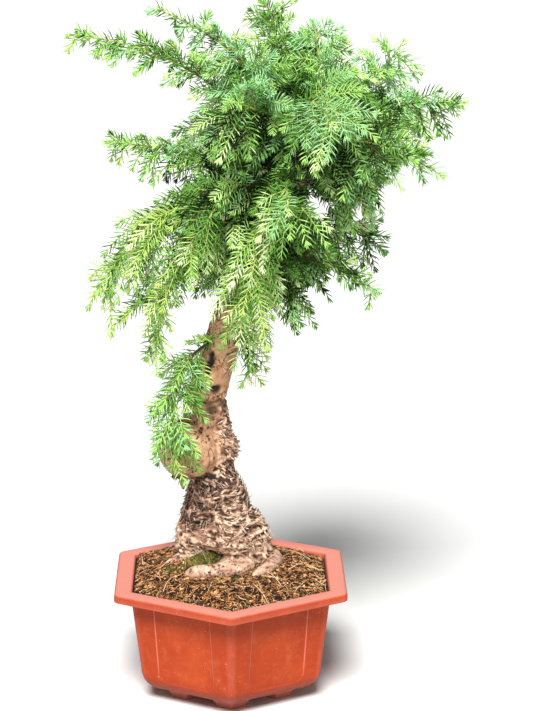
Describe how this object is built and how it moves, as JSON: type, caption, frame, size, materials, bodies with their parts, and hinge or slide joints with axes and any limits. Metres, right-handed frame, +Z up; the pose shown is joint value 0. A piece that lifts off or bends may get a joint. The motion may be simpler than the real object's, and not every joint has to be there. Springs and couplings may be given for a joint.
{
  "type": "potted bonsai conifer",
  "caption": "Hoop pine bonsai with a burled, leaning trunk and drooping needle sprays, in a six-sided terracotta-coloured plastic pot with corner feet.",
  "frame": {"origin": "on the ground under the middle of the whole plant's box; the pot's own middle lies to its left", "axes": "+Z up, -Y to the front, where one corner of the pot points; +X to the right"},
  "size_m": [0.551, 0.4274, 1.0027],
  "materials": {
    "pot": "dusty moulded plastic, paler along the worn rim",
    "soil": "crumbly coir and peat with straw",
    "trunk": "rough flaking bark",
    "boughs": "scaly bark",
    "foliage": "satin needles",
    "lime_foliage": "satin young needles"
  },
  "bodies": {
    "root": {"back_left_bough": "boughs", "back_left_foliage": "foliage", "back_low_bough": "boughs", "back_low_foliage": "foliage", "back_low_right_bough": "boughs", "back_low_right_foliage": "foliage", "back_mid_bough": "boughs", "back_mid_foliage": "foliage", "back_right_bough": "boughs", "back_right_foliage": "foliage", "back_top_bough": "boughs", "back_top_foliage": "foliage", "crown_left_bough": "boughs", "crown_left_foliage": "foliage", "front_left_bough": "boughs", "front_left_foliage": "foliage", "front_low_bough": "boughs", "front_low_foliage": "foliage", "front_middle_bough": "boughs", "front_middle_foliage": "foliage", "front_right_bough": "boughs", "front_right_foliage": "foliage", "front_upper_bough": "boughs", "front_upper_foliage": "foliage", "left_front_bough": "boughs", "left_front_foliage": "lime_foliage", "left_high_bough": "boughs", "left_high_foliage": "foliage", "left_low_bough": "boughs", "left_low_foliage": "lime_foliage", "left_mid_bough": "boughs", "left_mid_foliage": "foliage", "low_front_bough": "boughs", "low_front_foliage": "foliage", "low_hang_bough": "boughs", "low_hang_foliage": "foliage", "low_left_foliage": "foliage", "low_middle_bough": "boughs", "low_middle_foliage": "foliage", "low_right_bough": "boughs", "low_right_foliage": "foliage", "pot": "pot", "right_bough": "boughs", "right_foliage": "foliage", "right_low_bough": "boughs", "right_low_foliage": "foliage", "second_left_bough": "boughs", "second_left_foliage": "foliage", "soil": "soil", "top_left_bough": "boughs", "top_left_foliage": "foliage", "top_right_bough": "boughs", "top_right_foliage": "foliage", "trunk": "trunk", "trunk_left_foliage": "lime_foliage", "trunk_right_foliage": "foliage", "upper_left_bough": "boughs", "upper_left_foliage": "lime_foliage", "upper_right_bough": "boughs", "upper_right_foliage": "foliage"}
  },
  "joints": []
}
